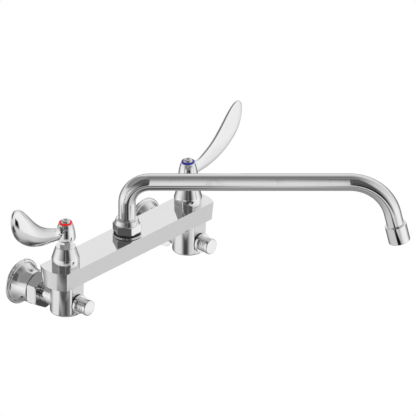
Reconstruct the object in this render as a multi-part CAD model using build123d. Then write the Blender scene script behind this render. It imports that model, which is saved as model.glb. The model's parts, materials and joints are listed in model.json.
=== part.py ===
from build123d import *
from math import cos, pi, radians, sin
import os

# Wall faucet with two lever handles, a swing spout and a stop in each inlet.
# The origin lies on the wall, midway between the two inlets. +X points to the
# cold side, +Y into the wall and +Z up. All sizes are in millimetres.

# ---------------------------------------------------------------- layout
inlet_centres = 203.2  # 8 inches between the hot and the cold inlet
axis_reach = 67.0  # wall to the valve and spout axes
bar_top = 43.5  # inlet axis to the top of the bar

# ---------------------------------------------------------------- fits
running_gap = 0.05  # a shaft in its bore
seat_gap = 0.1  # flat faces that slide on each other
thread_gap = 0.1  # a thread in its mate, both drawn plain
loose_gap = 0.3  # a cover or collar that only passes by

# ---------------------------------------------------------------- body casting
bar_width = 40.0
bar_height = 21.5
bar_draft = 1.5  # each side leans in by this much from top to bottom
bar_corner = 20.3  # valve axis to the corners of the bar's end
bar_bulge = 6.6  # middle of the bar's end beyond its corners
bar_round = 1.0
valve_body_radius = 17.8
valve_body_depth = 14.5  # below the inlet axis
valve_body_round = 2.0
pad_width = 19.2
pad_depth = 12.0  # below the inlet axis
pad_round = 1.5
inlet_boss_radius = 13.0
inlet_boss_reach = 19.0  # from the valve axis towards the wall

# ---------------------------------------------------------------- waterways
chamber_radius = 11.0
chamber_depth = 29.5
feed_radius = 4.5
gallery_radius = 5.5
gallery_drop = 10.5
well_radius = 7.5
well_depth = 16.5

# ---------------------------------------------------------------- inlets
flange_radius = 26.0
flange_rim = 3.4
bell_radius = 20.0
bell_length = 24.0
bell_wall = 1.8
flange_screw_radius = 2.5
flange_screw_head = 3.0
flange_screw_proud = 0.8
flange_screw_reach = 15.0  # wall to the screws' axes
flange_screw_count = 3
shank_radius = 13.0
shank_proud = 5.5  # how far the shank stands out of the flange
collar_radius = 16.9
collar_length = 8.0
pipe_socket_radius = 10.0  # half inch pipe thread
pipe_socket_depth = 15.0
shank_bore = 7.5
washer_thick = 1.5
union_corner = 21.0  # centre to the corners of the hexagon
union_chamfer = 1.6
union_lip = 3.5
tail_radius = 12.0
tail_flange = 15.8
tail_flange_thick = 3.5
tail_thread = 9.4
tail_bore = 6.5
tail_socket_depth = 8.0

# ---------------------------------------------------------------- stops
stop_thread = 8.2
stop_thread_length = 9.0
stop_chamber_radius = 7.5
stop_seat_behind = 7.0  # seat behind the valve axis
stop_seat_bore = 4.4
stop_gasket_radius = 9.6
stop_gasket_thick = 0.8
stop_ring_radius = 10.9
stop_ring_length = 3.0
stop_neck_radius = 8.5
stop_neck_length = 9.4
stop_neck_bore = 6.3
stop_neck_land = 2.4  # narrower land behind the cap
stop_neck_step = 0.5
stop_cap_radius = 9.0
stop_cap_length = 3.5
stop_cap_plug = 3.0
stop_cap_round = 0.6
stem_radius = 4.0
stem_head = 3.0
stem_tip = 2.0
stem_slot = 1.0
stop_travel = 4.5
poppet_radius = 5.8
poppet_thick = 2.5
poppet_sleeve = 3.6
poppet_sleeve_length = 4.5
stop_seal_thick = 1.5
stem_seal_wire = 0.6

# ---------------------------------------------------------------- cartridges
seat_ring_thick = 3.0
seat_ring_radius = 10.0
seat_ring_bore = 6.6
disc_radius = 8.1
disc_thick = 3.0
disc_port = 2.2
disc_port_offset = 4.2
disc_slot_depth = 1.0
disc_slot_width = 5.2
cartridge_waist = 1.2
cartridge_skirt = 4.5
cartridge_land = 5.5
cartridge_flange = 13.2
cartridge_flange_thick = 3.0
cartridge_guide = 8.2
cartridge_thread = 5.5
cartridge_window = 8.0
spindle_radius = 4.2
spindle_foot = 4.0
spindle_square = 5.8
spindle_square_length = 16.5
spindle_seal_wire = 0.75
body_seal_wire = 0.8
packing_nut_corner = 7.2
packing_nut_length = 6.8

# ---------------------------------------------------------------- bonnets
bonnet_radius = 15.8
bonnet_straight = 8.2
bonnet_height = 22.5
bonnet_top_radius = 10.5
bonnet_swell = 0.45
bonnet_wall = 1.8

# ---------------------------------------------------------------- handles
hub_foot_radius = 10.8
hub_top_radius = 7.5
hub_height = 21.0
hub_round = 0.8
handle_screw_radius = 1.9
handle_screw_head = 5.5
handle_screw_height = 3.9
handle_screw_socket = 2.0
handle_screw_length = 14.0
index_ring_radius = 7.0
index_ring_thick = 2.2
blade_edge = 2.4  # thickness at the rim of the blade
blade_flat_swell = 0.5  # how far the flat side bulges
# Sections of the blade, each from its lower to its upper edge: how far out and
# how high over the hub's foot each edge lies, the thickness at mid width and how
# far the section is set off towards its flat side.
blade_sections = [
    ((3.0, 4.2), (3.0, 18.2), 4.6, 1.6),
    ((14.0, 4.4), (14.0, 18.7), 4.8, 1.6),
    ((30.0, 5.4), (27.0, 23.4), 5.8, 1.2),
    ((45.0, 8.7), (38.5, 29.2), 6.4, 0.6),
    ((60.0, 13.9), (50.0, 38.4), 6.6, 0.0),
    ((74.0, 23.4), (60.0, 49.7), 6.4, 0.0),
    ((84.0, 33.9), (68.5, 59.4), 5.6, 0.0),
    ((88.9, 47.9), (76.0, 65.4), 4.6, 0.0),
    ((89.4, 58.0), (82.3, 67.2), 3.4, 0.0),
    ((89.1, 61.8), (85.6, 66.4), 2.4, 0.0),
]

# ---------------------------------------------------------------- spout
spout_rest = -48.3  # degrees from +X towards the room
tube_radius = 10.1
tube_wall = 1.2
run_height = 63.6  # bar top to the axis of the straight run
riser_bend = 25.3
end_bend_start = 247.0  # spout axis to the start of the end bend
end_bend = 48.8
end_turn = 77.0
tail_straight = 15.0  # end bend to the aerator
base_flange_radius = 17.0
base_flange_thick = 1.2
base_thread = 9.5
base_thread_length = 8.5
base_bore = 7.0
base_web = 3.0
base_sleeve = 13.0
base_sleeve_top = 10.5
spout_gasket_radius = 16.2
spout_gasket_thick = 1.2
glide_thick = 0.6
glide_inner = 10.5
swivel_collar = 12.4
swivel_collar_thick = 2.2
swivel_spigot_length = 8.6
swivel_bore = 7.0
swivel_seal_wire = 0.9
spout_nut_corner = 16.4
spout_nut_hex = 10.6
spout_nut_height = 16.9
spout_nut_top = 12.2
spout_nut_skirt = 16.1  # round skirt below the hexagon
spout_nut_skirt_height = 5.9
aerator_radius = 12.3
aerator_length = 20.7
aerator_thread = 6.0
aerator_wall = 1.6
aerator_lip = 2.0
aerator_mouth = 9.0
aerator_round = 0.8
aerator_washer_thick = 1.2
aerator_floor = 2.0
aerator_hole = 0.8
aerator_hole_rings = 3

# ---------------------------------------------------------------- derived places
half_centres = inlet_centres / 2
shank_length = bell_length + shank_proud
tail_flange_back = shank_length + washer_thick
tail_flange_front = tail_flange_back + tail_flange_thick
pad_face = bar_width / 2 - bar_draft  # valve axis to the pad's front
bar_bottom = bar_top - bar_height
stop_gasket_front = pad_face + stop_gasket_thick
stop_ring_front = stop_gasket_front + stop_ring_length
stop_neck_front = stop_ring_front + stop_neck_length
tail_socket_floor = inlet_boss_reach - tail_socket_depth
seal_face = stop_travel + seat_gap - stop_seat_behind  # open, from the valve axis
poppet_back = seal_face + stop_seal_thick
poppet_front = poppet_back + poppet_thick
sleeve_front = poppet_front + poppet_sleeve_length
seat_top = seat_ring_thick - chamber_depth
fixed_top = seat_top + disc_thick
turning_foot = fixed_top + running_gap
turning_top = turning_foot + disc_thick
foot_low = turning_top - disc_slot_depth
inner_top = -cartridge_land - running_gap
packing_nut_top = bonnet_height + packing_nut_length
hub_foot = packing_nut_top + loose_gap
hub_top = hub_foot + hub_height
square_top = hub_foot + spindle_square_length
base_top = base_flange_thick + spout_gasket_thick
lower_glide_top = base_sleeve_top + glide_thick
collar_low = lower_glide_top + seat_gap
collar_top = collar_low + swivel_collar_thick
upper_glide_low = collar_top + seat_gap
nut_ceiling = upper_glide_low + glide_thick
tube_bore = tube_radius - tube_wall


# ---------------------------------------------------------------- helpers
def turned(*corners, rounds=()):
    """Solid of revolution about Z through (radius, height) corners."""
    face = make_face(Polyline([(r, 0, z) for r, z in corners], close=True))
    for (r, z), radius in rounds:
        nearest = face.vertices().sort_by_distance((r, 0, z))[0]
        face = fillet(nearest, radius).faces()[0]
    return revolve(face, Axis.Z)


def disc(radius, low, high):
    return Pos(0, 0, (low + high) / 2) * Cylinder(radius, high - low)


def ring(outer, inner, low, high):
    return disc(outer, low, high) - disc(inner, low, high)


def hexagon(corner, low, high, turn=0.0):
    return Pos(0, 0, low) * extrude(RegularPolygon(corner, 6, rotation=turn), high - low)


def seal_ring(outer, wire, height):
    """Rubber ring of round wire that fills its groove out to the outer radius."""
    return Pos(0, 0, height) * Torus(outer - wire, wire)


def seal_groove(outer, wire, height):
    return ring(outer + 1, outer - 2 * wire, height - 1.15 * wire, height + 1.15 * wire)


def at_inlet(side, piece):
    """Local +Z runs from the wall into the room along an inlet's axis."""
    return Pos(side * half_centres, 0, 0) * Rot(90, 0, 0) * piece


def at_stop(side, piece):
    """Local +Z runs from the valve axis into the room along a stop's axis."""
    return Pos(side * half_centres, -axis_reach, 0) * Rot(90, 0, 0) * piece


def at_valve(side, piece):
    """Local +Z runs up a valve's axis from the top of the bar."""
    return Pos(side * half_centres, -axis_reach, bar_top) * piece


def at_spout(piece):
    """Local +Z runs up the spout's axis, and local +X along the spout at rest."""
    return Pos(0, -axis_reach, bar_top) * Rot(0, 0, spout_rest) * piece


# ---------------------------------------------------------------- body casting
def bar_outline(inset, height):
    corner_x = half_centres + bar_corner - inset
    corner_y = bar_width / 2 - inset
    end_x = corner_x + bar_bulge
    right = ThreePointArc((corner_x, -corner_y), (end_x, 0), (corner_x, corner_y))
    left = ThreePointArc((-corner_x, corner_y), (-end_x, 0), (-corner_x, -corner_y))
    back = Line(right @ 1, left @ 0)
    front = Line(left @ 1, right @ 0)
    return Pos(0, -axis_reach, height) * make_face(right + back + left + front)


def valve_body():
    """Round valve body, front pad and inlet boss, about the valve axis."""
    barrel = disc(valve_body_radius, -valve_body_depth, bar_bottom + bar_height / 2)
    barrel = fillet(barrel.edges().sort_by(Axis.Z)[0], valve_body_round)
    pad_height = bar_bottom + pad_depth + bar_round
    pad = Pos(0, -pad_face / 2, pad_height / 2 - pad_depth) * Box(pad_width, pad_face, pad_height)
    pad = fillet(pad.edges().filter_by(Axis.Y).group_by(Axis.Z)[0], pad_round)
    boss = Rot(-90, 0, 0) * disc(inlet_boss_radius, 0, inlet_boss_reach)
    return barrel + pad + boss


def stop_waterway():
    """Bores along the stop's axis, from the pad's face to the tail socket."""
    thread_end = pad_face - stop_thread_length
    return (
        disc(stop_thread + thread_gap, thread_end, pad_face + 1)
        + disc(stop_chamber_radius, -stop_seat_behind, thread_end)
        + disc(stop_seat_bore, -tail_socket_floor, -stop_seat_behind)
        + disc(tail_thread + thread_gap, -inlet_boss_reach - 1, -tail_socket_floor)
    )


def faucet_body():
    bar = loft([bar_outline(bar_draft, bar_bottom), bar_outline(0, bar_top)])
    rim = bar.edges().group_by(Axis.Z)[-1] + bar.edges().group_by(Axis.Z)[0]
    casting = fillet(rim, bar_round)
    for side in (-1, 1):
        casting += Pos(side * half_centres, -axis_reach, 0) * valve_body()
    for side in (-1, 1):
        casting -= at_valve(side, disc(chamber_radius, -chamber_depth, 1))
        casting -= at_valve(side, disc(feed_radius, -bar_top, -chamber_depth))
        casting -= at_stop(side, stop_waterway())
    gallery = Rot(0, 90, 0) * disc(gallery_radius, -half_centres, half_centres)
    casting -= Pos(0, -axis_reach, bar_top - gallery_drop) * gallery
    casting -= at_spout(disc(well_radius, -well_depth, 1))
    casting -= at_spout(disc(base_thread + thread_gap, -base_thread_length, 1))
    return casting


# ---------------------------------------------------------------- inlets
def wall_flange():
    hole = collar_radius + loose_gap
    inner = bell_radius - bell_wall
    step = flange_rim / 4
    front = bell_length
    outline = (
        (flange_radius - bell_wall - 1, 0),
        (flange_radius, 0),
        (flange_radius, 2 * step),
        (flange_radius - 1.2, 3 * step),
        (flange_radius - 2.6, 3 * step),
        (flange_radius - 2.6, flange_rim),
        (flange_radius - 4.2, flange_rim + step),
        (bell_radius, flange_rim + 3 * step),
        (bell_radius, front),
        (hole, front),
        (hole, front - bell_wall),
        (inner, front - bell_wall),
        (inner, flange_rim + step),
    )
    rounds = [((bell_radius, front), 1.2), ((flange_radius, 2 * step), 0.5)]
    bell = turned(*outline, rounds=rounds)
    return bell - around_bell(disc(flange_screw_radius + thread_gap, shank_radius, flange_radius))


def around_bell(screw):
    """Copies of a radial screw, the first one pointing up."""
    lying = Pos(0, 0, flange_screw_reach) * Rot(-90, 0, 0) * screw
    turns = [360 / flange_screw_count * n for n in range(flange_screw_count)]
    return Compound([Rot(0, 0, turn) * lying for turn in turns])


def flange_screws():
    tip = shank_radius
    seat = bell_radius
    head = disc(flange_screw_head, seat + running_gap, seat + flange_screw_proud)
    screw = disc(flange_screw_radius, tip, seat + flange_screw_proud) + head
    slot = Pos(0, 0, seat + flange_screw_proud) * Box(flange_screw_head * 2, 0.8, 0.8)
    return around_bell(screw - slot)


def inlet_shank():
    collar_low_end = shank_length - collar_length
    outer = disc(shank_radius, 0, shank_length) + disc(collar_radius, collar_low_end, shank_length)
    outer -= disc(pipe_socket_radius, 0, pipe_socket_depth)
    return outer - disc(shank_bore, 0, shank_length)


def union_washer():
    return ring(tail_flange, shank_bore, shank_length, tail_flange_back)


def union_nut():
    low = bell_length + 2 * loose_gap
    high = tail_flange_front + union_lip
    side = union_corner - union_chamfer
    chamfered = turned(
        (0, low), (side, low), (union_corner, low + union_chamfer),
        (union_corner, high - union_chamfer), (side, high), (0, high),
    )
    nut = hexagon(union_corner, low, high, turn=90) & chamfered
    nut -= disc(collar_radius + thread_gap, low, tail_flange_front)
    return nut - disc(tail_radius + loose_gap, low, high)


def tailpiece():
    boss_face = axis_reach - inlet_boss_reach
    thread_end = boss_face + tail_socket_depth
    outer = disc(tail_flange, tail_flange_back, tail_flange_front)
    outer += disc(tail_radius, tail_flange_back, boss_face)
    outer += disc(tail_thread, tail_flange_back, thread_end)
    return outer - disc(tail_bore, tail_flange_back, thread_end)


# ---------------------------------------------------------------- stops
def stop_gasket():
    return ring(stop_gasket_radius, stop_thread + thread_gap, pad_face, stop_gasket_front)


def stop_bonnet():
    thread = disc(stop_thread, pad_face - stop_thread_length, stop_gasket_front)
    collar = turned(
        (0, stop_gasket_front), (stop_ring_radius, stop_gasket_front),
        (stop_ring_radius, stop_ring_front), (0, stop_ring_front),
        rounds=[((stop_ring_radius, stop_ring_front), 0.6), ((stop_ring_radius, stop_gasket_front), 0.6)],
    )
    land_back = stop_neck_front - stop_neck_land
    neck = disc(stop_neck_radius, stop_ring_front, land_back)
    neck += disc(stop_neck_radius - stop_neck_step, land_back, stop_neck_front)
    body = thread + collar + neck
    body -= disc(stop_neck_bore, stop_gasket_front + stop_ring_length / 2, stop_neck_front)
    return body - disc(stem_radius + running_gap, pad_face - stop_thread_length, stop_neck_front)


def stop_cap():
    front = stop_neck_front + stop_cap_length
    cap = turned(
        (0, stop_neck_front), (stop_cap_radius, stop_neck_front), (stop_cap_radius, front), (0, front),
        rounds=[((stop_cap_radius, front), stop_cap_round)],
    )
    plug_radius = stop_neck_bore - thread_gap
    return cap + ring(plug_radius, stem_head + 1.2, stop_neck_front - stop_cap_plug, stop_neck_front)


def stop_stem():
    shoulder = sleeve_front + loose_gap
    thread_front = stop_gasket_front + stop_ring_length / 2 + stop_travel
    front = stop_neck_front - loose_gap
    stem = disc(stem_tip, poppet_front + seat_gap, shoulder) + disc(stem_radius, shoulder, thread_front)
    stem += disc(stem_head, thread_front, front)
    stem -= Pos(0, 0, front) * Box(stem_slot, 2 * stem_head, 2 * stem_slot)
    return stem - seal_groove(stem_radius, stem_seal_wire, stem_seal_height())


def stem_seal_height():
    return pad_face - stem_radius / 2


def stem_seal():
    return seal_ring(stem_radius, stem_seal_wire, stem_seal_height())


def stop_poppet():
    body = disc(poppet_radius, poppet_back, poppet_front)
    return body + ring(poppet_sleeve, stem_tip + running_gap, poppet_front, sleeve_front)


def stop_seal():
    return disc(poppet_radius - 0.2, seal_face, poppet_back)


# ---------------------------------------------------------------- cartridges
def cartridge_seals():
    seat = ring(seat_ring_radius, seat_ring_bore, -chamber_depth, seat_top)
    return Compound([seat, seal_ring(chamber_radius - running_gap, body_seal_wire, body_seal_height())])


def body_seal_height():
    return -cartridge_land / 2


def disc_ports(low, high, turn):
    ports = [Rot(0, 0, turn + half) * Pos(disc_port_offset, 0, 0) for half in (0, 180)]
    return Compound([place * disc(disc_port, low, high) for place in ports])


def fixed_disc():
    """Ceramic disc that stays put, with its two ports across the bar."""
    return disc(disc_radius, seat_top, fixed_top) - disc_ports(seat_top, fixed_top, 90)


def turning_disc():
    """Ceramic disc on the spindle's foot, its ports a quarter turn away when shut."""
    plate = disc(disc_radius, turning_foot, turning_top) - disc_ports(turning_foot, turning_top, 0)
    slot = Box(4 * disc_radius, disc_slot_width, 2 * disc_slot_depth)
    return plate - Rot(0, 0, 90) * Pos(0, 0, turning_top) * slot


def cartridge_body():
    outer = chamber_radius - 2 * thread_gap
    inner = disc_radius + 2 * thread_gap
    waist = outer - cartridge_waist
    lower = disc(outer, seat_top, seat_top + cartridge_skirt)
    middle = disc(waist, seat_top, 0)
    upper = disc(outer, -cartridge_land, 0)
    flange = disc(cartridge_flange, 0, cartridge_flange_thick)
    guide_top = bonnet_height - bonnet_wall - loose_gap
    guide = disc(cartridge_guide, 0, guide_top)
    thread = disc(cartridge_thread, 0, packing_nut_top - 2 * loose_gap)
    body = lower + middle + upper + flange + guide + thread
    body -= disc(inner, seat_top, inner_top)
    body -= disc(spindle_radius + running_gap, seat_top, packing_nut_top)
    window_low = seat_top + cartridge_skirt
    window_height = inner_top - window_low - 1
    window = Pos(0, 0, window_low + window_height / 2) * Box(4 * outer, cartridge_window, window_height)
    body -= window
    groove_inner = chamber_radius - running_gap
    return body - seal_groove(groove_inner, body_seal_wire, body_seal_height())


def spindle_seal_heights():
    return (cartridge_flange_thick, cartridge_flange_thick + 6 * spindle_seal_wire)


def spindle():
    foot = Box(4 * disc_radius, disc_slot_width - 2 * seat_gap, spindle_foot)
    foot = Rot(0, 0, 90) * Pos(0, 0, foot_low + spindle_foot / 2) * foot
    foot &= disc(disc_radius - seat_gap, foot_low, foot_low + spindle_foot)
    shaft = disc(spindle_radius, foot_low + spindle_foot / 2, hub_foot)
    square = extrude(RegularPolygon(spindle_square / 2, 4, major_radius=False), square_top - hub_foot)
    shape = foot + shaft + Pos(0, 0, hub_foot) * square
    shape -= disc(handle_screw_radius + running_gap, square_top - handle_screw_length, square_top)
    for height in spindle_seal_heights():
        shape -= seal_groove(spindle_radius, spindle_seal_wire, height)
    return shape


def spindle_seals():
    rings = [seal_ring(spindle_radius, spindle_seal_wire, height) for height in spindle_seal_heights()]
    return Compound(rings)


def packing_nut():
    """Small hexagon over the bonnet that clamps it to the cartridge."""
    nut = hexagon(packing_nut_corner, bonnet_height, packing_nut_top, turn=30)
    high = packing_nut_top
    nut &= turned(
        (0, bonnet_height), (packing_nut_corner, bonnet_height), (packing_nut_corner, high - 0.8),
        (packing_nut_corner - 0.8, high), (0, high),
    )
    nut -= disc(cartridge_thread + thread_gap, bonnet_height, high - loose_gap)
    return nut - disc(spindle_radius + loose_gap, bonnet_height, high)


def bonnet_side(radius, straight, top_radius, top):
    """Edges up the bonnet's side: a straight foot, then a slightly swollen taper."""
    middle = ((radius + top_radius) / 2 + bonnet_swell, 0, (straight + top) / 2 + bonnet_swell)
    foot = Line((radius, 0, 0), (radius, 0, straight))
    return foot, ThreePointArc((radius, 0, straight), middle, (top_radius, 0, top))


def bonnet():
    foot, taper = bonnet_side(bonnet_radius, bonnet_straight, bonnet_top_radius, bonnet_height)
    outer = foot + taper + Polyline(taper @ 1, (0, 0, bonnet_height), (0, 0, 0), foot @ 0)
    inner_height = bonnet_height - bonnet_wall
    foot, taper = bonnet_side(
        bonnet_radius - bonnet_wall, bonnet_straight, bonnet_top_radius - bonnet_wall, inner_height
    )
    inner = foot + taper + Polyline(taper @ 1, (0, 0, inner_height), (0, 0, 0), foot @ 0)
    shell = revolve(make_face(outer), Axis.Z) - revolve(make_face(inner), Axis.Z)
    return shell - disc(cartridge_thread + loose_gap, 0, bonnet_height)


# ---------------------------------------------------------------- handles
def blade_section(lower, upper, thick, offset):
    """Section of the blade, nearly flat on the -Y side and round on the +Y side."""
    across = Vector(upper[0] - lower[0], 0, upper[1] - lower[1])
    middle = ((lower[0] + upper[0]) / 2, -offset, (lower[1] + upper[1]) / 2 + hub_foot)
    half = across.length / 2
    edge = min(blade_edge, thick / 2) / 2
    rim = half + edge / 2
    flat_side = -edge - blade_flat_swell
    round_side = thick + flat_side
    lower_rim = ThreePointArc((-half, edge), (-rim, 0), (-half, -edge))
    flat = ThreePointArc((-half, -edge), (0, flat_side), (half, -edge))
    upper_rim = ThreePointArc((half, -edge), (rim, 0), (half, edge))
    swell = ThreePointArc((half, edge), (0, round_side), (-half, edge))
    outline = make_face(lower_rim + flat + upper_rim + swell)
    normal = across.normalized().cross(Vector(0, 1, 0))
    return Plane(origin=middle, x_dir=across, z_dir=normal) * outline


def handle():
    hub = turned(
        (0, hub_foot), (hub_foot_radius, hub_foot), (hub_top_radius, hub_top), (0, hub_top),
        rounds=[((hub_foot_radius, hub_foot), hub_round), ((hub_top_radius, hub_top), hub_round / 2)],
    )
    blade = loft([blade_section(*section) for section in blade_sections])
    shape = hub + blade
    socket = extrude(RegularPolygon(spindle_square / 2 + running_gap, 4, major_radius=False),
                     spindle_square_length + loose_gap)
    shape -= Pos(0, 0, hub_foot) * socket
    return shape - disc(handle_screw_radius + running_gap, hub_foot, hub_top)


def index_ring():
    return ring(index_ring_radius, handle_screw_head + seat_gap, hub_top, hub_top + index_ring_thick)


def handle_screw():
    top = hub_top + handle_screw_height
    head = turned(
        (0, hub_top), (handle_screw_head, hub_top), (handle_screw_head, top), (0, top),
        rounds=[((handle_screw_head, top), handle_screw_head / 2)],
    )
    head -= disc(handle_screw_socket, top - handle_screw_height / 2, top)
    return head + disc(handle_screw_radius, square_top - handle_screw_length + 1, hub_top)


# ---------------------------------------------------------------- spout
def spout_base():
    body = disc(base_thread, -base_thread_length, base_flange_thick)
    body += disc(base_flange_radius, 0, base_flange_thick) + disc(base_sleeve, 0, base_sleeve_top)
    body -= disc(tube_radius + running_gap, base_web, base_sleeve_top)
    return body - disc(base_bore, -base_thread_length, base_sleeve_top)


def spout_gasket():
    return ring(spout_gasket_radius, base_sleeve + thread_gap, base_flange_thick, base_top)


def spout_glides():
    """Slippery washers under and over the swivel's collar."""
    lower = ring(base_sleeve, glide_inner, base_sleeve_top, lower_glide_top)
    upper = ring(base_sleeve, glide_inner, upper_glide_low, nut_ceiling)
    return Compound([lower, upper])


def spout_nut():
    top = base_top + spout_nut_height
    hex_top = base_top + spout_nut_hex
    shape = turned(
        (0, base_top), (spout_nut_corner - 0.8, base_top), (spout_nut_corner, base_top + 0.8),
        (spout_nut_corner, hex_top), (spout_nut_top, top), (0, top),
    )
    nut = hexagon(spout_nut_corner, base_top, top, turn=-spout_rest) & shape
    nut += disc(spout_nut_skirt, base_top, base_top + spout_nut_skirt_height)
    nut -= disc(base_sleeve + thread_gap, base_top, nut_ceiling)
    return nut - disc(tube_radius + loose_gap, base_top, top)


def swivel_seal_heights():
    span = collar_low - base_web
    return (base_web + 0.3 * span, base_web + 0.7 * span)


def spout_swivel():
    """Brass end of the spout that turns in the base, held by its collar."""
    foot = base_web + loose_gap
    spigot_top = collar_top + swivel_spigot_length
    shape = disc(tube_radius, foot, collar_top) + disc(swivel_collar, collar_low, collar_top)
    shape += disc(tube_bore - running_gap, collar_top, spigot_top)
    for height in swivel_seal_heights():
        shape -= seal_groove(tube_radius, swivel_seal_wire, height)
    return shape - disc(swivel_bore, foot, spigot_top)


def swivel_seals():
    return Compound([seal_ring(tube_radius, swivel_seal_wire, height) for height in swivel_seal_heights()])


def spout_path():
    """Riser, first bend, straight run, end bend and outlet, in local XZ."""
    lean = radians(45)
    riser_top = run_height - riser_bend
    riser = Line((0, 0, collar_top), (0, 0, riser_top))
    bend_middle = (riser_bend * (1 - cos(lean)), 0, riser_top + riser_bend * sin(lean))
    bend = ThreePointArc(riser @ 1, bend_middle, (riser_bend, 0, run_height))
    run = Line(bend @ 1, (end_bend_start, 0, run_height))
    end = ThreePointArc(run @ 1, on_end_bend(end_turn / 2), on_end_bend(end_turn))
    tail = Line(end @ 1, outlet_point(tail_straight + aerator_thread))
    return Wire([riser, bend, run, end, tail])


def on_end_bend(turn):
    lean = radians(turn)
    return (end_bend_start + end_bend * sin(lean), 0, run_height - end_bend * (1 - cos(lean)))


def outlet_point(distance):
    """Point on the outlet's axis, measured from the end of the end bend."""
    start = on_end_bend(end_turn)
    lean = radians(end_turn)
    return (start[0] + distance * cos(lean), 0, start[2] - distance * sin(lean))


def spout_tube():
    path = spout_path()
    section = Plane(origin=path @ 0, z_dir=path % 0) * (Circle(tube_radius) - Circle(tube_bore))
    tube = sweep(section, path=path)
    expected = pi * (tube_radius ** 2 - tube_bore ** 2) * path.length
    print("spout tube: length %.1f, volume / expected %.4f" % (path.length, tube.volume / expected))
    return tube


def at_outlet(piece):
    """Local +Z runs down the outlet from the aerator's upper face."""
    start = outlet_point(tail_straight)
    beyond = outlet_point(tail_straight + 1)
    direction = (beyond[0] - start[0], 0, beyond[2] - start[2])
    return at_spout(Plane(origin=start, x_dir=(0, 1, 0), z_dir=direction) * piece)


def aerator_housing():
    end = aerator_length
    shell = turned(
        (0, 0), (aerator_radius, 0), (aerator_radius, end), (0, end),
        rounds=[((aerator_radius, 0), aerator_round), ((aerator_radius, end), aerator_round)],
    )
    shell -= disc(tube_radius + running_gap, 0, aerator_thread)
    shell -= disc(aerator_radius - aerator_wall, aerator_thread, end - aerator_lip)
    return shell - disc(aerator_mouth, 0, end)


def aerator_washer():
    outer = aerator_radius - aerator_wall - running_gap
    return ring(outer, tube_bore, aerator_thread, aerator_thread + aerator_washer_thick)


def aerator_insert():
    outer = aerator_radius - aerator_wall - running_gap
    low = aerator_thread + aerator_washer_thick
    high = aerator_length - aerator_lip
    cup = disc(outer, low, high) - disc(outer - 1.4, low, high - aerator_floor)
    pitch = (aerator_mouth - 2 * aerator_hole) / aerator_hole_rings
    height = high - aerator_floor / 2
    holes = [Pos(0, 0, height)]
    for row in range(1, aerator_hole_rings + 1):
        holes += [Rot(0, 0, 60 * n / row) * Pos(row * pitch, 0, height) for n in range(6 * row)]
    return cup - Compound([place * Cylinder(aerator_hole, 2 * aerator_floor) for place in holes])


# ---------------------------------------------------------------- assembly
os.makedirs("parts", exist_ok=True)


def save(name, piece):
    solids = piece.solids()
    export_step(solids[0] if len(solids) == 1 else Compound(list(solids)), f"parts/{name}.step")


save("faucet_body", faucet_body())

inlet_pieces = (wall_flange, flange_screws, inlet_shank, union_washer, union_nut, tailpiece)
stop_pieces = (stop_gasket, stop_bonnet, stop_cap, stop_stem, stem_seal, stop_poppet, stop_seal)
valve_pieces = (cartridge_seals, fixed_disc, cartridge_body, packing_nut, bonnet)
turning_pieces = (turning_disc, spindle, spindle_seals, handle, index_ring, handle_screw)

for side_name, side in (("hot", -1), ("cold", 1)):
    for make in inlet_pieces:
        save(f"{side_name}_{make.__name__}", at_inlet(side, make()))
    for make in stop_pieces:
        save(f"{side_name}_{make.__name__}", at_stop(side, make()))
    for make in valve_pieces:
        save(f"{side_name}_{make.__name__}", at_valve(side, make()))
    outward = 180 if side < 0 else 0  # each lever points away from the spout
    for make in turning_pieces:
        save(f"{side_name}_{make.__name__}", at_valve(side, Rot(0, 0, outward) * make()))

for make in (spout_base, spout_gasket, spout_glides, spout_nut, spout_swivel, swivel_seals, spout_tube):
    save(make.__name__, at_spout(make()))
for make in (aerator_housing, aerator_washer, aerator_insert):
    save(make.__name__, at_outlet(make()))
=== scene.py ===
import bpy
import json
from math import atan2, cos, pi, radians, sin
from mathutils import Matrix, Vector


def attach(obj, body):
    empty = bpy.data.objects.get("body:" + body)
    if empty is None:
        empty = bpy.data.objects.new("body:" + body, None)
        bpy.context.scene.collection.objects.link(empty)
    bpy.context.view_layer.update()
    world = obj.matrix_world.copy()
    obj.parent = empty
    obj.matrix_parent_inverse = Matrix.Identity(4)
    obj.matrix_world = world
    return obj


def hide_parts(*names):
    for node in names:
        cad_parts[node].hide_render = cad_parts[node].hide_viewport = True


# Wall faucet in polished chrome, in metres and in the frame of the CAD model.

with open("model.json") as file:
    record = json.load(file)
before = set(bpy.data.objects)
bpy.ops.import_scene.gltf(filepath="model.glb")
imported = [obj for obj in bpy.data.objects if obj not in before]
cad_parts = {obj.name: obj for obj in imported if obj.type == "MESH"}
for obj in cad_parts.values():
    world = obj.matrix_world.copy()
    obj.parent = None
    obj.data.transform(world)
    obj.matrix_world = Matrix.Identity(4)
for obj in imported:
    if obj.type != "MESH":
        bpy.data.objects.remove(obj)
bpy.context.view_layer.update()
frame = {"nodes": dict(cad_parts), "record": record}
scene = bpy.context.scene
nodes = frame["nodes"]
print("frame loaded,", len(nodes), "nodes")

barTop = 0.0435
axisY = -0.067
valveX = 0.1016
restTurn = radians(-48.3)  # spout at rest, from +X
toCamera = Vector((-0.7466, -0.6652, 0))  # level, from the faucet to the camera
toRight = Vector((0.6652, -0.7466, 0))
toTop = Vector((0.3331, 0.2968, 0.8949))
lookAlong = Vector((0.668, 0.595, -0.446))
spoutSpot = Vector((0, axisY, barTop))  # where the spout's axis meets the bar


# camera

cameraSet = {"lens": 1500.0, "sensor": 36.0, "distance": 19.2525, "right": 0.0898, "up": 0.0279,
             "clipEnd": 50}

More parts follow.
